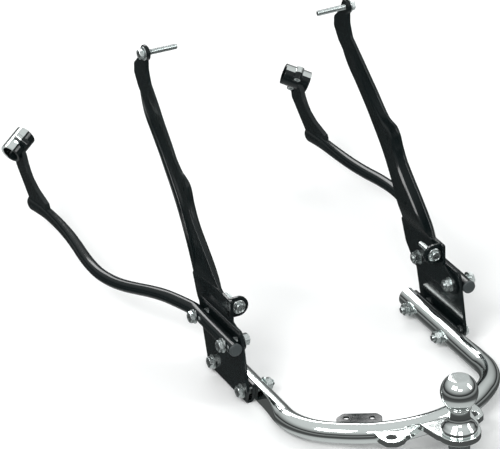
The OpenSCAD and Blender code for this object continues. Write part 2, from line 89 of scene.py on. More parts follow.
def noise(nt, scale, detail=3.0, rough=0.5):
    tc = nt.nodes.new("ShaderNodeTexCoord")
    n = nt.nodes.new("ShaderNodeTexNoise")
    n.inputs["Scale"].default_value = scale
    n.inputs["Detail"].default_value = detail
    n.inputs["Roughness"].default_value = rough
    nt.links.new(tc.outputs["Object"], n.inputs["Vector"])
    return n


def ramp(nt, src, lo, hi, a=0.35, b=0.65):
    r = nt.nodes.new("ShaderNodeMapRange")
    r.inputs["From Min"].default_value, r.inputs["From Max"].default_value = a, b
    r.inputs["To Min"].default_value, r.inputs["To Max"].default_value = lo, hi
    nt.links.new(src, r.inputs["Value"])
    return r.outputs["Result"]


def colour_mix(nt, fac, c1, c2):
    m = nt.nodes.new("ShaderNodeMix")
    m.data_type = "RGBA"
    m.inputs["A"].default_value = (*c1, 1)
    m.inputs["B"].default_value = (*c2, 1)
    nt.links.new(fac, m.inputs["Factor"])
    return m.outputs["Result"]


def bumps(nt, bsdf, layers):
    prev = None
    for scale, detail, dist, strength in layers:
        n = noise(nt, scale, detail)
        b = nt.nodes.new("ShaderNodeBump")
        b.inputs["Distance"].default_value = dist
        b.inputs["Strength"].default_value = strength
        nt.links.new(n.outputs["Fac"], b.inputs["Height"])
        if prev:
            nt.links.new(prev.outputs["Normal"], b.inputs["Normal"])
        prev = b
    nt.links.new(prev.outputs["Normal"], bsdf.inputs["Normal"])


def edge_mask(nt, radius, lo, hi):
    """1 where a surface turns a tight convex edge, from the bevelled normal."""
    bev = nt.nodes.new("ShaderNodeBevel")
    bev.samples = 4
    bev.inputs["Radius"].default_value = radius
    geo = nt.nodes.new("ShaderNodeNewGeometry")
    dot = nt.nodes.new("ShaderNodeVectorMath")
    dot.operation = "DOT_PRODUCT"
    nt.links.new(bev.outputs["Normal"], dot.inputs[0])
    nt.links.new(geo.outputs["Normal"], dot.inputs[1])
    return ramp(nt, dot.outputs["Value"], 1.0, 0.0, lo, hi)


def chrome_mat():
    m, nt, b = new_mat("chrome_plate")
    b.inputs["Metallic"].default_value = 1.0
    n1 = noise(nt, 14, 3)
    nt.links.new(colour_mix(nt, n1.outputs["Fac"], (0.80, 0.845, 0.835), (0.86, 0.90, 0.885)), b.inputs["Base Color"])
    n2 = noise(nt, 60, 5, 0.6)
    nt.links.new(ramp(nt, n2.outputs["Fac"], 0.035, 0.085), b.inputs["Roughness"])
    bumps(nt, b, [(26, 2, 0.0004, 0.10), (900, 3, 0.00002, 0.05)])
    return m


def black_mat():
    m, nt, b = new_mat("black_powder_coat")
    n1 = noise(nt, 22, 4)
    nt.links.new(colour_mix(nt, n1.outputs["Fac"], (0.003, 0.005, 0.0055), (0.007, 0.011, 0.0115)), b.inputs["Base Color"])
    n2 = noise(nt, 140, 4, 0.6)
    nt.links.new(ramp(nt, n2.outputs["Fac"], 0.10, 0.17), b.inputs["Roughness"])
    b.inputs["Specular IOR Level"].default_value = 0.34
    bumps(nt, b, [(60, 2, 0.00005, 0.08), (420, 2, 0.00001, 0.05)])
    return m


def zinc_mat():
    m, nt, b = new_mat("zinc_plated_steel")
    b.inputs["Metallic"].default_value = 1.0
    n1 = noise(nt, 90, 4)
    nt.links.new(colour_mix(nt, n1.outputs["Fac"], (0.50, 0.55, 0.55), (0.70, 0.74, 0.73)), b.inputs["Base Color"])
    n2 = noise(nt, 350, 5, 0.65)
    nt.links.new(ramp(nt, n2.outputs["Fac"], 0.20, 0.38), b.inputs["Roughness"])
    bumps(nt, b, [(1100, 3, 0.00004, 0.12)])
    return m


def plastic_mat():
    m, nt, b = new_mat("satin_plug")
    n1 = noise(nt, 80, 3)
    nt.links.new(colour_mix(nt, n1.outputs["Fac"], (0.030, 0.038, 0.040), (0.050, 0.060, 0.062)), b.inputs["Base Color"])
    n2 = noise(nt, 500, 3)
    nt.links.new(ramp(nt, n2.outputs["Fac"], 0.38, 0.52), b.inputs["Roughness"])
    bumps(nt, b, [(1500, 2, 0.00004, 0.2)])
    return m


MAT = {"chrome": chrome_mat(), "gloss_black_paint": black_mat(), "zinc_steel": zinc_mat(), "plug_plastic": plastic_mat()}
SLOT = {p["node"]: p["material_slot"] for p in frame["record"]["subparts"]}


# ------------------------------------------------------------ mesh helpers
def unit(v):
    v = np.asarray(v, float)
    return v / np.linalg.norm(v)


class Geo:
    """Vertices and faces of one piece, in mm, gathered from closed shells."""

    def __init__(self):
        self.v, self.f = [], []

    def add(self, v, f):
        o = len(self.v)
        self.v += [tuple(map(float, p)) for p in v]
        self.f += [tuple(i + o for i in t) for t in f]
        return self

    def moved(self, fn):
        g = Geo()
        g.v, g.f = [tuple(fn(np.array(p))) for p in self.v], list(self.f)
        return g


def piece(name, geo, node, body, side=1, sharp=32, weighted=True, slot=None):
    """One visible piece that stands for a CAD node; side -1 mirrors it to the left."""
    me = bpy.data.meshes.new(name)
    v = [(x * side / 1000, y / 1000, z / 1000) for x, y, z in geo.v]
    f = geo.f if side > 0 else [tuple(reversed(t)) for t in geo.f]
    me.from_pydata(v, [], f)
    bm = bmesh.new()
    bm.from_mesh(me)
    bmesh.ops.remove_doubles(bm, verts=bm.verts, dist=2e-6)
    bmesh.ops.dissolve_degenerate(bm, edges=bm.edges, dist=1e-6)
    bmesh.ops.recalc_face_normals(bm, faces=bm.faces)
    bm.to_mesh(me)
    bm.free()
    me.shade_smooth()
    me.set_sharp_from_angle(angle=math.radians(sharp))
    ob = bpy.data.objects.new(name, me)
    bpy.context.scene.collection.objects.link(ob)
    s = slot or SLOT[node]
    me.materials.append(MAT[s])
    if weighted:
        w = ob.modifiers.new("normals", "WEIGHTED_NORMAL")
        w.keep_sharp = True
    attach(ob, body)
    if node:
        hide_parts(node)
    return ob


def loft(rings, cap0=True, cap1=True):
    """Closed skin over rings of equal length."""
    n, m = len(rings[0]), len(rings)
    v = [p for r in rings for p in r]
    f = [(i * n + j, i * n + (j + 1) % n, (i + 1) * n + (j + 1) % n, (i + 1) * n + j)
         for i in range(m - 1) for j in range(n)]
    if cap0:
        f.append(tuple(range(n - 1, -1, -1)))
    if cap1:
        f.append(tuple((m - 1) * n + j for j in range(n)))
    return v, f


def basis(axis):
    a = unit(axis)
    x = unit(np.cross([0, 0, 1], a)) if abs(a[2]) < 0.9 else np.array([1.0, 0, 0])
    x = unit(x - a * np.dot(x, a))
    return x, np.cross(a, x), a


def lathe(profile, at, axis, n=64, clamp=None, closed=False):
    """Turned shape: profile is (radius, height along axis). closed joins its two ends, as on a washer."""
    x, y, a = basis(axis)
    at = np.asarray(at, float)
    rings = [[at + a * h + (x * math.cos(2 * math.pi * j / n) + y * math.sin(2 * math.pi * j / n)) * max(r, 0.02)
              for j in range(n)] for r, h in profile]
    if clamp is not None:
        rings = [[np.array([min(p[0], clamp), p[1], p[2]]) for p in r] for r in rings]
    if closed:
        rings.append(rings[0])
        return loft(rings, False, False)
    return loft(rings)


def hexa(af, h, at, axis, ch0=0.0, ch1=0.0, hole=0.0, n=96, turn=0.0, dish=0.0):
    """Hexagon across flats af with turned chamfers at either end, and a countersunk hole if asked."""
    x, y, a = basis(axis)
    at = np.asarray(at, float)
    rc = af / math.sqrt(3)
    steps = []
    for k in range(7):
        u = k / 6
        steps.append((h * 0.0 + ch0 * u, (af / 2 * 0.955) + (rc - af / 2 * 0.955) * u if ch0 else rc))
    for k in range(7):
        u = k / 6
        steps.append((h - ch1 * (1 - u), rc - (rc - af / 2 * 0.955) * u if ch1 else rc))
    rings = []
    for z, lim in steps:
        ring = []
        for j in range(n):
            th = 2 * math.pi * j / n
            q = (th + turn) % (math.pi / 3) - math.pi / 6
            r = min(af / 2 / math.cos(q), lim)
            ring.append(at + a * z + (x * math.cos(th) + y * math.sin(th)) * r)
        rings.append(ring)

    def circ(r, z):
        return [at + a * z + (x * math.cos(2 * math.pi * j / n) + y * math.sin(2 * math.pi * j / n)) * r for j in range(n)]

    if hole:
        rings += [circ(hole + 0.7, h), circ(hole, h - 0.7), circ(hole, 0.7), circ(hole + 0.7, 0)]
        rings.append(rings[0])
        return loft(rings, False, False)
    if dish:
        rings += [circ(af / 2 * 0.80, h), circ(af / 2 * 0.72, h - dish)]
    return loft(rings)


def threaded(d, length, pitch, at, axis, n=36, plain=0.0, point=1.0):
    """Rod along axis with a helical thread beyond its plain length, and a chamfered point."""
    x, y, a = basis(axis)
    at = np.asarray(at, float)
    depth = 0.54 * pitch
    zs = [0.0] + ([plain * 0.5] if plain else []) + list(np.arange(plain, length - 1e-6, pitch / 6)) + [length]
    rings = []
    for z in zs:
        ring = []
        for j in range(n):
            t = j / n
            ph = (z / pitch - t) % 1.0
            cut = depth * (1 - abs(2 * ph - 1)) if z > plain else 0.0
            fade = min(1.0, max(0.0, (z - plain) / pitch))
            r = d / 2 - cut * fade
            if z > length - point:
                r = min(r, d / 2 - depth * (z - (length - point)) / point)
            th = 2 * math.pi * t
            ring.append(at + a * z + (x * math.cos(th) + y * math.sin(th)) * r)
        rings.append(ring)
    return loft(rings)


def rounded(pts, n=6):
    out, m = [], len(pts)
    for i in range(m):
        p, q, s = (np.array(pts[(i + k) % m][:2], float) for k in (-1, 0, 1))
        r = pts[i][2] if len(pts[i]) > 2 else 0
        if r < 0.01:
            out.append(q)
            continue
        u, v = unit(p - q), unit(s - q)
        h = math.acos(max(-1, min(1, float(u @ v)))) / 2
        r = min(r, 0.48 * min(np.linalg.norm(p - q), np.linalg.norm(s - q)) * math.tan(h))
        c = q + unit(u + v) * r / math.sin(h)
        a1 = math.atan2(*(q + u * r / math.tan(h) - c)[::-1])
        a2 = math.atan2(*(q + v * r / math.tan(h) - c)[::-1])
        d = (a2 - a1 + math.pi) % (2 * math.pi) - math.pi
        out += [c + r * np.array([math.cos(a1 + d * k / n), math.sin(a1 + d * k / n)]) for k in range(n + 1)]
    return out


def circle2(c, r, n=28):
    return [np.array([c[0] + r * math.cos(2 * math.pi * k / n), c[1] + r * math.sin(2 * math.pi * k / n)]) for k in range(n)]


def area2(lp):
    return 0.5 * sum(lp[i][0] * lp[(i + 1) % len(lp)][1] - lp[(i + 1) % len(lp)][0] * lp[i][1] for i in range(len(lp)))


def clean(lp):
    out = []
    for p in lp:
        if not out or np.linalg.norm(p - out[-1]) > 0.05:
            out.append(np.asarray(p, float))
    if np.linalg.norm(out[0] - out[-1]) < 0.05:
        out.pop()
    return out


def inset(lp, d):
    m, out = len(lp), []
    for i in range(m):
        u, v = unit(lp[i] - lp[i - 1]), unit(lp[(i + 1) % m] - lp[i])
        n1, n2 = np.array([-u[1], u[0]]), np.array([-v[1], v[0]])
        k = n1 + n2
        out.append(lp[i] + k * d / max(0.5, 1 + float(n1 @ n2)))
    return out


def sheet(outline, t, bev, holes=(), res=3):
    """Flat plate in (a, b) from height 0 to t, every edge rounded by bev."""
    loops = [clean(outline)] + [clean(h) for h in holes]
    if area2(loops[0]) < 0:
        loops[0].reverse()
    for i in range(1, len(loops)):
        if area2(loops[i]) > 0:
            loops[i].reverse()
    lv = [(bev * (1 - math.sin(math.pi / 2 * k / res)), bev * (1 - math.cos(math.pi / 2 * k / res))) for k in range(res + 1)]
    levels = lv + [(d, t - h) for d, h in reversed(lv)]
    v, f, cap0, cap1 = [], [], [], []
    for lp in loops:
        base, n = len(v), len(lp)
        for d, h in levels:
            v += [(p[0], p[1], h) for p in (inset(lp, d) if d > 1e-9 else lp)]
        for i in range(len(levels) - 1):
            for j in range(n):
                k = (j + 1) % n
                f.append((base + i * n + j, base + i * n + k, base + (i + 1) * n + k, base + (i + 1) * n + j))
        cap0.append(list(range(base, base + n)))
        cap1.append(list(range(base + (len(levels) - 1) * n, base + len(levels) * n)))
    for cap, flip in ((cap0, True), (cap1, False)):
        flat = [i for c in cap for i in c]
        for tri in tessellate_polygon([[Vector((v[i][0], v[i][1], 0)) for i in c] for c in cap]):
            q = [flat[i] for i in tri]
            f.append(tuple(q[::-1] if flip else q))
    return v, f


def cut_lines(v, f, lines):
    """Adds edges across a flat plate on planes (point, normal), so that it can be bent there."""
    bm = bmesh.new()
    vs = [bm.verts.new(p) for p in v]
    for t in f:
        try:
            bm.faces.new([vs[i] for i in t])
        except ValueError:
            pass
    for co, no in lines:
        bmesh.ops.bisect_plane(bm, geom=bm.verts[:] + bm.edges[:] + bm.faces[:], plane_co=co, plane_no=no, dist=1e-5)
    bm.verts.ensure_lookup_table()
    bm.verts.index_update()
    v2 = [tuple(p.co) for p in bm.verts]
    f2 = [tuple(p.index for p in t.verts) for t in bm.faces]
    bm.free()
    return v2, f2


def catmull(p, k):
    p = [np.atleast_1d(np.asarray(q, float)) for q in p]
    m, out = len(p), []
    for i in range(m - 1):
        a, b, c, d = p[max(0, i - 1)], p[i], p[i + 1], p[min(m - 1, i + 2)]
        for j in range(k):
            t = j / k
            out.append(0.5 * (2 * b + (c - a) * t + (2 * a - 5 * b + 4 * c - d) * t * t + (3 * b - a - 3 * c + d) * t ** 3))
    out.append(p[-1])
    return out


def tangents(p):
    return [unit(p[min(i + 1, len(p) - 1)] - p[max(i - 1, 0)]) for i in range(len(p))]


# ------------------------------------------------------------ receiver tube
TR, LEG_X, LEG_Z, FRONT = 14.3, 152.5, -107.0, 424.0
REAR_R, CORNER_R, REAR_A, TILT = 170.0, 95.0, math.radians(40), math.radians(4)
SL = (LEG_X - CORNER_R * (1 - math.sin(REAR_A)) - REAR_R * math.sin(REAR_A)) / math.cos(REAR_A)
KINK = 92 + REAR_R * (1 - math.cos(REAR_A)) + SL * math.sin(REAR_A) + CORNER_R * math.cos(REAR_A)
FLAT_X, FLAT_Y, FLAT_END = LEG_X + 5.5, 276.0, 216.0


def bow_half():
    out = []
    for i in range(33):
        t = REAR_A * i / 32
        out.append((REAR_R * math.sin(t), 92 + REAR_R * (1 - math.cos(t))))
    for i in range(49):
        t = REAR_A + (math.pi / 2 - REAR_A) * i / 48
        out.append((LEG_X - CORNER_R * (1 - math.sin(t)), KINK - CORNER_R * math.cos(t)))
    y = out[-1][1]
    out += [(LEG_X, q) for q in np.arange(y + 3, FLAT_Y + 6, 2.5)] + [(LEG_X, FRONT)]
    return out


def tilted(x, y):
    if y >= KINK:
        return np.array([x, y, LEG_Z])
    w = KINK - y
    return np.array([x, KINK - w * math.cos(TILT), LEG_Z + w * math.sin(TILT)])


def press(y):
    if y >= FLAT_Y:
        return FLAT_X - LEG_X
    if y <= FLAT_END:
        return 99.0
    u = (y - FLAT_END) / (FLAT_Y - FLAT_END)
    return TR + (FLAT_X - LEG_X - TR) * (u * (2 - u))


def softmin(a, b, k=1.2):
    h = max(k - abs(a - b), 0) / k
    return min(a, b) - h * h * k / 4


def receiver():
    half = bow_half()
    c = [tilted(-x, y) for x, y in reversed(half[1:])] + [tilted(x, y) for x, y in half]
    tan, n, rings = tangents(c), 72, []
    for p, t in zip(c, tan):
        a = unit(np.cross(t, [0, 0, 1]))
        b = np.cross(a, t)
        lim = press(p[1])
        rings.append([p + a * softmin(TR * math.cos(2 * math.pi * (j + .5) / n), lim) + b * TR * math.sin(2 * math.pi * (j + .5) / n)
                      for j in range(n)])
    g = Geo().add(*loft(rings))
    piece("tube_bow", g, "receiver_tube", ROOT, sharp=50, weighted=False)


def bead(path, r, name, node_slot, seed=3):
    """Weld bead: a ripple of overlapping puddles along a joint."""
    rng = np.random.RandomState(seed)
    p = [np.asarray(q, float) for q in path]
    tan, rings, s = tangents(p), [], 0.0
    for i, (q, t) in enumerate(zip(p, tan)):
        if i:
            s += np.linalg.norm(q - p[i - 1])
        x, y, _ = basis(t)
        end = min(1.0, 0.25 + min(i, len(p) - 1 - i) / 4)
        rr = r * end * (1 + 0.10 * math.cos(2 * math.pi * s / 2.6) + 0.04 * rng.rand())
        rings.append([q + (x * math.cos(2 * math.pi * j / 14) + y * math.sin(2 * math.pi * j / 14)) * rr for j in range(14)])
    g = Geo().add(*loft(rings))
    piece(name, g, None, ROOT, sharp=70, weighted=False, slot=node_slot)


# --------------------------------------------------------- ball mount plate
SEAT, LOBE, MT = -59.0, -91.0, 9.0


def mount_plate():
    half = [(28.9 * math.sin(math.radians(a)), -28.9 * math.cos(math.radians(a)), 0) for a in range(0, 88, 4)]
    half += [(29.5, 0, 0), (31.5, 3, 0), (34.5, 18, 12), (38, 40, 10), (38, 67, 1.2), (41, 68, 1), (43.5, 66.5, 2), (50, 61, 8),
             (62, 58.5, 8), (74, 65, 8), (78, 80, 6), (77, 96, 1)]
    arc = [(x, 262 - math.sqrt(182.8 ** 2 - x * x), 0) for x in np.linspace(73, -73, 49)]
    pts = half + arc + [(-x, y, r) for x, y, r in reversed(half[1:])]
    out = rounded(pts, 6)
    holes = [circle2((62, 74), 7, 40), circle2((-62, 74), 7, 40)]
    v, f = sheet(out, MT, 0.9, holes, 3)
    lines = [((0, y, 0), (0, 1, 0)) for y in np.arange(30, 80, 1.25)] + [((x, 0, 0), (1, 0, 0)) for x in (-39.6, 39.6)]
    v, f = cut_lines(v, f, lines)
    # top line of the two bends, walked by its y
    ys = np.linspace(20, 100, 1601)
    slope = (SEAT - LOBE) / (72 - 38)
    soft = lambda q, c, w: 0.5 * (1 + np.tanh((q - c) / w))
    dz = -slope * soft(ys, 38.5, 1.6) * (1 - soft(ys, 71.5, 1.6))
    z = np.concatenate([[0], np.cumsum((dz[1:] + dz[:-1]) / 2 * np.diff(ys))])
    z = SEAT + z * (LOBE - SEAT) / z[-1]

    def bend(p):
        x, y, h = p
        if abs(x) > 39.55 or y > 82:
            return np.array([x, y, LOBE - MT + h])
        if y < 22:
            return np.array([x, y, SEAT - MT + h])
        zt = np.interp(y, ys, z)
        s = (np.interp(y + .2, ys, z) - np.interp(y - .2, ys, z)) / .4
        nrm = unit([0, -s, 1])
        return np.array([x, y, zt]) + nrm * (h - MT)

    g = Geo().add([bend(p) for p in v], f)
    piece("mount_plate", g, "ball_mount_plate", ROOT, sharp=35)


# ----------------------------------------------------------------- tow ball
def tow_ball():
    prof = [(0, SEAT - 35), (7.6, SEAT - 35), (9.4, SEAT - 33.2), (9.5, SEAT), (23.6, SEAT), (24.4, SEAT + .3), (24.8, SEAT + 1.0),
            (24.8, -53.6), (24.6, -52.8), (24.0, -52.0), (23.2, -51.0)]
    for q in catmull([(23.2, -51), (20.8, -47.8), (17.9, -44.6), (15.6, -41), (14.6, -37.5), (14.3, -33), (14.2, -29), (14.5, -25.4)], 4):
        prof.append((q[0], q[1]))
    prof += [(15.0, -24.6), (16.0, -24.2), (16.4, -23.5), (16.4, -22.4), (15.9, -21.8), (15.2, -21.4), (15.0, -20.5)]
    a0 = math.asin(-20.5 / 25.4)
    a1 = math.asin(20.9 / 25.4)
    prof += [(25.4 * math.cos(a), 25.4 * math.sin(a)) for a in np.linspace(a0, a1, 48)]
    prof += [(13.8, 21.25), (13.2, 21.4), (6, 21.4), (0, 21.4)]
    g = Geo().add(*lathe(prof, (0, 0, 0), (0, 0, 1), 128))
    piece("ball", g, "hitch_ball", ROOT, sharp=40)
    g = Geo().add(*lathe([(9.9, 0), (16, 0), (16, 3.4), (15.7, 3.6), (9.9, 3.6)], (0, 0, -71.6), (0, 0, 1), 64, closed=True))
    piece("ball_washer", g, "ball_lock_washer", ROOT)
    g = Geo().add(*hexa(28.6, 16.5, (0, 0, -88.1), (0, 0, 1), 1.6, 1.6, 9.6))
    piece("ball_hex_nut", g, "ball_nut", ROOT)


# ------------------------------------------------------------ wiring tab
def wiring_tab():
    a = math.radians(-27)

    def place(p):
        return np.array([-75 + p[0] * math.cos(a) - p[1] * math.sin(a), 142 + p[0] * math.sin(a) + p[1] * math.cos(a), -96 + p[2]])

    def edge(u):
        lo, hi = -24.0, 8.0
        for _ in range(40):
            mid = (lo + hi) / 2
            q = place((u, mid, 0))
            if math.hypot(q[0], q[1] - 262) > REAR_R - TR + 1.5:
                lo = mid
            else:
                hi = mid
        return hi

    back = [(u, edge(u), 0) for u in np.linspace(-31, 31, 25)]
    out = rounded(back + [(31, 4, 8), (24, 11.5, 6), (-22, 11.5, 6), (-31, 0, 6)], 6)
    v, f = sheet(out, 3, 0.6, [circle2((17.5, 0), 3.6), circle2((-17.5, 0), 3.6)])
    piece("wiring_plate", Geo().add([place(p) for p in v], f), "connector_bracket", ROOT)
    bead([place((u, edge(u) + 0.3, 3.0)) for u in np.linspace(-27, 27, 44)], 1.5, "tab_weld", "gloss_black_paint", 5)


# ----------------------------------------------------------- side and strut
UPPER, LOWER = [(320, -37.5), (412, -37.5)], [(304, -107), (395.5, -107)]


def side_plate(k, nm):
    zb, rm = -124.5 + 7.25, 5.0
    L = math.pi * rm
    o = lambda y, z, r=0: (y, -z, r)
    inner = lambda y, z, r=0: (y, -zb + L + (z - zb), r)
    pts = [o(304, -15, 8), o(438, -19, 9), o(433, -48, 20), o(413.6, zb, 0), (412, -zb + L / 2, 0), inner(413.6, zb), inner(421, -94, 3),
           inner(288, -94, 3), inner(294.5, zb), (296, -zb + L / 2, 0), o(294, zb, 8), o(287, -100, 14)]
    v, f = sheet(rounded(pts, 8), 4.5, 0.8)
    v, f = cut_lines(v, f, [((0, s, 0), (0, 1, 0)) for s in np.linspace(-zb, -zb + L, 15)])

    def fold(p):
        y, s, h = p           # h 0 inside, 4.5 outside
        off = h - 2.25
        if s <= -zb:
            return np.array([170.25 + off, y, -s])
        if s >= -zb + L:
            return np.array([160.25 - off, y, zb + (s + zb - L)])
        t = (s + zb) / rm
        return np.array([165.25 + (rm + off) * math.cos(t), y, zb - (rm + off) * math.sin(t)])

    piece(nm + "side_channel", Geo().add([fold(p) for p in v], f), nm + "side_plate", ROOT, k, 35)


BD = unit([0, 0.76, 0.65])
BN = np.array([0, -BD[2], BD[1]])
BP = np.array([163.5, 432, 40.0])


def blade(p, lean=0.5):
    th = math.radians(lean)
    q = np.asarray(p, float) - BP
    return BP + q * math.cos(th) + np.cross(BN, q) * math.sin(th) + BN * (BN @ q) * (1 - math.cos(th))


FOOT = [(341, 13, 3), (366, 13, 2), (374, 14, 0), (466, 4, 4), (452, -30, 18), (424, -57, 12), (312, -52, 6), (303, -40, 5), (309, -27, 5), (341, -19, 2)]
EYE = [(592, 219, 0), (602, 236, 14), (608, 252, 12), (607, 287, 7), (621, 288, 9), (635, 263, 10), (652, 247, 6), (653, 232, 5),
       (640, 214, 10), (625, 202, 0)]
# rear edge, crease and front edge of the blade's middle surface, each as y, z, x; then the tip of the front flange
STATIONS = [((353, -2, 165.75), (368, -8, 165.75), (450, -16, 165.75), 167.9),
            ((366, 10, 165.75), (374, 6, 165.75), (460, 0, 165.75), 167.9),
            ((383, 27, 168.4), (394, 20, 161.8), (472, 26, 161.8), 168.4),
            ((412, 54, 169), (422, 46, 161.2), (485, 50, 161.2), 168.6),
            ((452, 90, 169), (455, 76, 160.8), (501, 75, 160.8), 168.6),
            ((466, 112, 168), (472, 101, 160.6), (516, 94, 160.6), 168.4),
            ((471, 131, 166), (480, 121, 160.4), (533, 112, 160.4), 168),
            ((481, 141, 165.2), (490, 130, 160.3), (544, 123, 160.3), 167.8),
            ((499, 145, 164.6), (508, 135, 160.2), (557, 136, 160.2), 167.4),
            ((513, 155, 164), (524, 145, 160.1), (568, 146, 160.1), 167),
            ((532, 173, 163), (546, 160, 159.9), (590, 165, 159.9), 166.4),
            ((555, 193, 161.8), (568, 178, 159.6), (609, 180, 159.6), 165.6),
            ((578, 214, 160.2), (590, 196, 159.3), (622, 193, 159.3), 164),
            ((600, 233, 159), (612, 214, 159), (634, 211, 159), 161.5)]


def bored(v, f, cutters):
    """Cuts round holes (centre, axis, radius) through a closed mesh."""
    def temp(v, f):
        me = bpy.data.meshes.new("temp")
        me.from_pydata([tuple(p) for p in v], [], f)
        bm = bmesh.new()
        bm.from_mesh(me)
        bmesh.ops.recalc_face_normals(bm, faces=bm.faces)
        bm.to_mesh(me)
        bm.free()
        ob = bpy.data.objects.new("temp", me)
        bpy.context.scene.collection.objects.link(ob)
        return ob
    body = temp(v, f)
    tools = []
    for c, ax, r in cutters:
        t = temp(*lathe([(0, -30), (r, -30), (r, 30), (0, 30)], c, ax, 28))
        m = body.modifiers.new("cut", "BOOLEAN")
        m.operation, m.solver, m.object = "DIFFERENCE", "EXACT", t
        tools.append(t)
    ev = body.evaluated_get(bpy.context.evaluated_depsgraph_get())
    me = ev.to_mesh()
    v2, f2 = [tuple(p.co) for p in me.vertices], [tuple(q.vertices) for q in me.polygons]
    ev.to_mesh_clear()
    for ob in [body] + tools:
        d = ob.data
        bpy.data.objects.remove(ob)
        bpy.data.meshes.remove(d)
    return v2, f2


def strut(k, nm):
    g = Geo()
    v, f = sheet(rounded(FOOT, 6), 4.5, 0.7)
    g.add([(163.5 + p[2], p[0], p[1]) for p in v], f)
    v, f = sheet(rounded(EYE, 6), 4.5, 0.7)
    g.add([blade((159 + p[2], p[0], p[1])) for p in v], f)
    # blade: rear strip, pressed crease, web and the small fold of its front edge
    paths = [catmull([(q[i][2], q[i][0], q[i][1]) for q in STATIONS], 6) for i in range(3)]
    tips = [float(t[0]) for t in catmull([q[3] for q in STATIONS], 6)]
    n = len(paths[0])
    rings = []
    for i, (r, c, w, tip) in enumerate(zip(*paths, tips)):
        e = min(1.0, max(0.0, (i - 8) / 8)) * min(1.0, max(0.0, (n - 1 - i) / 10))
        ur, uw = (r - c) / np.linalg.norm(r - c), (w - c) / np.linalg.norm(w - c)
        fl = max(0.15, tip - w[0] - 2.2)              # how far the flange stands out
        fd = min(1.0, fl / 3.2)
        lip = [(0, 1.4), (.35, 1.95), (.9, 2.2)]
        sec = [(r - ur * d, h) for d, h in lip]
        sec += [(c + ur * 3.6, 2.2 - .1 * e), (c + ur * 1.8, 2.2 - .8 * e), (c, 2.2 - 1.3 * e), (c + uw * 1.8, 2.2 - .8 * e), (c + uw * 3.6, 2.2 - .1 * e)]
        sec += [(w - uw * (3.2 + 2.0 * fd * (1 - math.sin(a))), 2.2 + 2.0 * fd * (1 - math.cos(a))) for a in np.linspace(0, math.pi / 2, 6)]
        sec += [(w - uw * d, 2.2 + fl - g * fd) for d, g in ((3.2, .9), (2.95, .35), (2.4, 0), (1.0, 0), (.45, .35), (.2, .9))]
        sec += [(w - uw * (3.0 * (1 - math.cos(a)) - .2 * math.cos(a) + .2), -2.2 + 3.0 * (1 - math.sin(a))) for a in np.linspace(0, math.pi / 2, 7)]
        sec += [(w - uw * 9, -2.2), (c + uw * 4, -2.2 - .1 * e), (c + uw * 2.2, -2.2 - 1.1 * e), (c + uw * .8, -2.2 - 1.8 * e), (c - uw * .2, -2.2 - 2.0 * e),
                (c + ur * .9, -2.2 - 1.8 * e), (c + ur * 2.2, -2.2 - 1.1 * e), (c + ur * 4, -2.2 - .1 * e)]
        sec += [(r - ur * d, -h) for d, h in reversed(lip)]
        rings.append([p + np.array([h, 0, 0]) for p, h in sec])
    ax = unit(blade((163.5, 496, 118)) - blade((162.5, 496, 118)))
    v, f = bored(*loft(rings), [(blade((161, 494, 117)), ax, 3.0), (blade((161, 441, 34)), ax, 4.0)])
    g.add(v, f)
    # eye boss
    ax = blade((162.5, 614, 276)) - blade((163.5, 614, 276))
    c = blade((163.5, 614, 276))
    g.add(*lathe([(4.3, 0), (9.9, 0), (10.5, .6), (10.5, 5.4), (9.9, 6), (4.3, 6)], c, ax, 48, closed=True))
    # ear for the rear bolt: rounded tab folded from the rear edge
    tab = [(168, -16, 3), (168, 14, 3)] + [(153 + 15 * math.cos(a), -1 + 15 * math.sin(a), 0) for a in np.linspace(math.pi / 2, 3 * math.pi / 2, 21)]
    v, f = sheet(rounded(tab, 5), 4.5, 0.7, [circle2((153, -1), 4.3, 28)])
    g.add([(p[0], 351.5 - p[2], p[1]) for p in v], f)
    piece(nm + "strut_blade", g, nm + "strut", ROOT, k, 42)


# ---------------------------------------------------------------- bolts
def flange_bolt(at, ax, d, length, fd, ft, af, hh, pitch, plain):
    """Seat at `at`, ax points from the seat out through the head."""
    g = Geo()
    at, ax = np.asarray(at, float), unit(ax)
    g.add(*lathe([(d / 2, 0), (fd / 2 - .3, 0), (fd / 2, .3), (fd / 2, ft - .5), (fd / 2 - .5, ft), (af / 2 + .6, ft + .9), (af / 2 - .5, ft + 1.1)], at, ax, 64))
    g.add(*hexa(af, hh, at + ax * ft * .6, ax, 0, 1.3, dish=0.5))
    g.add(*threaded(d, length, pitch, at + ax * .4, -ax, plain=plain, point=1.2))
    return g


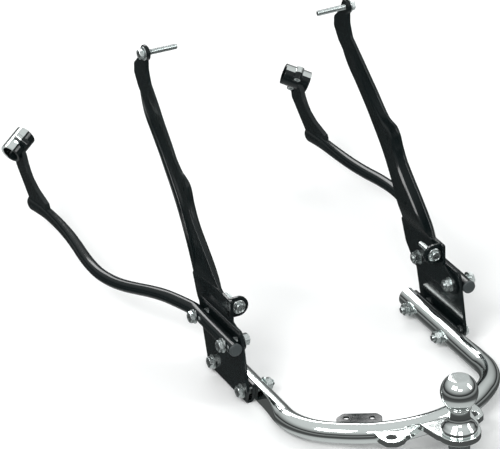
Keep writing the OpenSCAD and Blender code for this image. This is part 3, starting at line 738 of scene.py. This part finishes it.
def fasteners(k, nm):
    X = np.array([1.0, 0, 0])
    g = Geo()
    for y, z in UPPER:
        q = flange_bolt((191.55, y, z), X, 10, 40.4, 21, 2, 15, 7, 1.5, 26)
        g.add(q.v, q.f)
    piece(nm + "upper_bolt_pair", g, nm + "upper_bolts", ROOT, k)
    g = Geo()
    for y, z in LOWER:
        q = flange_bolt((172.5, y, z), X, 10, 48.4, 21, 2, 15, 7, 1.5, 32)
        g.add(q.v, q.f)
    piece(nm + "lower_bolt_pair", g, nm + "lower_bolts", ROOT, k)
    for name, pts, x0 in (("upper", UPPER, 161.5), ("lower", LOWER, 136.2)):
        g = Geo()
        for y, z in pts:
            g.add(*lathe([(5.25, 0), (10.2, 0), (10.5, .3), (10.5, 1.7), (10.2, 2), (5.25, 2)], (x0, y, z), X, 56, closed=True))
        piece(nm + name + "_washer_pair", g, nm + name + "_washers", ROOT, k)
        g = Geo()
        for j, (y, z) in enumerate(pts):
            g.add(*hexa(16, 8, (x0 - 8, y, z), X, 1.1, .7, 5.05, turn=0.3 + .5 * j))
        piece(nm + name + "_nut_pair", g, nm + name + "_nuts", ROOT, k)
    seat = blade((163.5, 614, 276))
    ax = unit(blade((169, 614, 276)) - blade((168, 614, 276)))
    piece(nm + "eye_bolt_long", flange_bolt(seat, ax, 8, 50.4, 20, 2, 13, 7.5, 1.25, 6), nm + "top_bolt", nm + "top_bolt_body", k)
    piece(nm + "tab_bolt_long", flange_bolt((153, 347, -1), (0, -1, 0), 8, 40.4, 20, 1.8, 13, 6, 1.25, 5), nm + "ear_bolt", nm + "ear_bolt_body", k)


# ------------------------------------------------------------------ arms
ARM_X, ARM_Z = 182.025, -37.5
ARM = [[ARM_X, 422, ARM_Z], [ARM_X + 1, 431, ARM_Z], [186.5, 444, ARM_Z], [193, 465, -38], [201, 488, -39], [211, 513, -42], [221, 536, -46],
       [231, 560, -50], [239, 586, -53], [245, 616, -54], [246, 648, -54], [243, 682, -55], [238, 718, -57], [234, 756, -58.5],
       [232, 800, -60], [232, 845, -62.5], [233, 880, -67], [233.5, 897, -70]]
AW = [9.5, 9.5, 9.4, 9.3, 9.1, 8.8, 8.6, 8.6, 8.6, 8.6, 8.6, 8.6, 8.4, 8.0, 7.2, 6.4, 6.2, 6.0]
AH = [9.5, 9.5, 9.45, 9.4, 9.2, 8.9, 8.7, 8.7, 8.8, 9.0, 9.2, 9.4, 9.6, 10.0, 10.6, 11.2, 11.5, 11.5]


def arm(k, nm):
    c = catmull(ARM, 8)
    w = [float(q[0]) for q in catmull(AW, 8)]
    h = [float(q[0]) for q in catmull(AH, 8)]
    t = tangents(c)
    n, rings = 48, []

    def ring(p, tt, a, b, push=0.0):
        u = unit(np.cross(tt, [0, 0, 1]))
        q = np.cross(u, tt)
        return [p + tt * push + u * a * math.cos(2 * math.pi * j / n) + q * b * math.sin(2 * math.pi * j / n) for j in range(n)]

    y0 = np.array([ARM_X, 300, ARM_Z])
    fwd = np.array([0, 1.0, 0])
    rings.append(ring(y0, fwd, 8.9, 8.9))
    rings.append(ring(y0, fwd, 9.525, 9.525, .6))
    rings += [ring(np.array([ARM_X, y, ARM_Z]), fwd, 9.525, 9.525) for y in np.linspace(306, 418, 12)]
    rings += [ring(c[i], t[i] if i else fwd, w[i], h[i]) for i in range(len(c))]
    L = len(c) - 1
    for s in range(1, 13):
        a = math.radians(7 * s)
        rings.append(ring(c[L], t[L], w[L] * (.35 + .65 * math.cos(a)), h[L] * math.cos(a), h[L] * math.sin(a)))
    piece(nm + "arm_bar", Geo().add(*loft(rings)), nm + "arm_tube", ROOT, k, 40, weighted=False)
    R = 9.47
    prof = [(7.4, 9), (7.5, 0), (R, 0), (R, -1.7), (R - .3, -2.2), (R - 1.0, -2.8), (R - 2.2, -3.15), (R - 3, -3.2), (R - 3.4, -2.9), (0, -2.7)]
    piece(nm + "arm_end_plug", Geo().add(*lathe(prof, (ARM_X, 300, ARM_Z), (0, 1, 0), 64)), nm + "arm_plug", ROOT, k)
    prof = [(11, -1), (TR - .05, -.5), (TR, 0), (TR, 1.6)] + [(TR - 6 + 6 * math.cos(a) * 1.0, 1.6 + 3.4 * math.sin(a)) for a in np.linspace(0, math.pi / 2, 14)][1:] + [(4, 5.95), (0, 6.1)]
    piece(nm + "tube_end_cap", Geo().add(*lathe(prof, (LEG_X, FRONT + .4, LEG_Z), (0, 1, 0), 96, clamp=FLAT_X)), nm + "tube_cap", ROOT, k, 45)


# CAD shapes that are right as they are: a finer edge and a real material
def keep(node, width=0.0006, seg=3):
    o = NODES[node]
    o.data.materials.clear()
    o.data.materials.append(MAT[SLOT[node]])
    w = o.modifiers.new("weld", "WELD")
    w.merge_threshold = 2e-6
    b = o.modifiers.new("edges", "BEVEL")
    b.width, b.segments, b.limit_method, b.angle_limit = width, seg, "ANGLE", math.radians(38)
    b.harden_normals = False
    w = o.modifiers.new("normals", "WEIGHTED_NORMAL")
    w.keep_sharp = False


receiver()
mount_plate()
bead([(182.7 * math.sin(a), 262 - 182.7 * math.cos(a), -90.9 - 1.2 * (abs(a) / .42) ** 2) for a in np.linspace(-.42, .42, 120)], 1.9, "plate_weld", "chrome")
tow_ball()
wiring_tab()
for k, nm in ((1, "right_"), (-1, "left_")):
    side_plate(k, nm)
    strut(k, nm)
    fasteners(k, nm)
    arm(k, nm)
    for n, wd in (("link_bar", .0022), ("clamp_base", .0007), ("clamp_cap", .0007), ("clamp_screws", .0003), ("arm_sleeves", .0002),
                  ("lower_spacers", .0003), ("tube_sleeves", .0002)):
        keep(nm + n, wd)


# ---------------------------------------------------------- floor and light
def floor():
    me = bpy.data.meshes.new("floor")
    z, s = -0.1247, 30
    me.from_pydata([(-s, -s, z), (s, -s, z), (s, s, z), (-s, s, z)], [], [(0, 1, 2, 3)])
    ob = bpy.data.objects.new("floor", me)
    bpy.context.scene.collection.objects.link(ob)
    m, nt, b = new_mat("pale_floor")
    n = noise(nt, 3, 2)
    nt.links.new(colour_mix(nt, n.outputs["Fac"], (0.93, 0.93, 0.93), (0.95, 0.95, 0.95)), b.inputs["Base Color"])
    b.inputs["Roughness"].default_value = 0.9
    b.inputs["Specular IOR Level"].default_value = 0.1
    me.materials.append(m)
    ob.visible_glossy = False


def area(name, loc, target, size, power, colour=(1, 1, 1)):
    li = bpy.data.lights.new(name, "AREA")
    li.shape, li.size, li.size_y, li.energy, li.color = "RECTANGLE", size[0], size[1], power, colour
    ob = bpy.data.objects.new(name, li)
    ob.location = loc
    ob.rotation_mode = "QUATERNION"
    ob.rotation_quaternion = (Vector(target) - Vector(loc)).to_track_quat("-Z", "Y")
    bpy.context.scene.collection.objects.link(ob)


def world():
    w = bpy.data.worlds.new("studio")
    bpy.context.scene.world = w
    w.use_nodes = True
    nt = w.node_tree
    bg = nt.nodes["Background"]
    tc = nt.nodes.new("ShaderNodeTexCoord")
    sep = nt.nodes.new("ShaderNodeSeparateXYZ")
    nt.links.new(tc.outputs["Generated"], sep.inputs[0])
    cr = nt.nodes.new("ShaderNodeValToRGB")
    mr = nt.nodes.new("ShaderNodeMapRange")
    mr.inputs["From Min"].default_value, mr.inputs["From Max"].default_value = -1, 1
    nt.links.new(sep.outputs["Z"], mr.inputs["Value"])
    nt.links.new(mr.outputs["Result"], cr.inputs["Fac"])
    stops = [(0.0, 0.60), (0.13, 0.50), (0.20, 0.10), (0.34, 0.05), (0.41, 0.22), (0.46, 0.30), (0.495, 0.03), (0.55, 0.05), (0.60, 0.22), (0.68, 0.42), (0.78, 0.62), (1.0, 0.70)]
    el = cr.color_ramp.elements
    while len(el) < len(stops):
        el.new(0.5)
    for e, (p, c) in zip(el, stops):
        e.position, e.color = p, (c * .97, c, c * .995, 1)
    nt.links.new(cr.outputs["Color"], bg.inputs["Color"])
    bg.inputs["Strength"].default_value = 1.0


floor()
world()
area("key", (-2.4, -0.9, 2.6), (0, .4, 0), (1.8, 1.2), 70)
area("fill", (2.6, -1.6, 1.9), (0, .4, 0), (0.8, 1.8), 32)
area("back", (0.4, 3.4, 2.2), (0, .4, 0), (2.6, .8), 46)
area("front", (-1.6, -4.2, 3.4), (0, .4, 0), (1.8, 0.9), 60)
bpy.context.scene.view_settings.view_transform = "Standard"
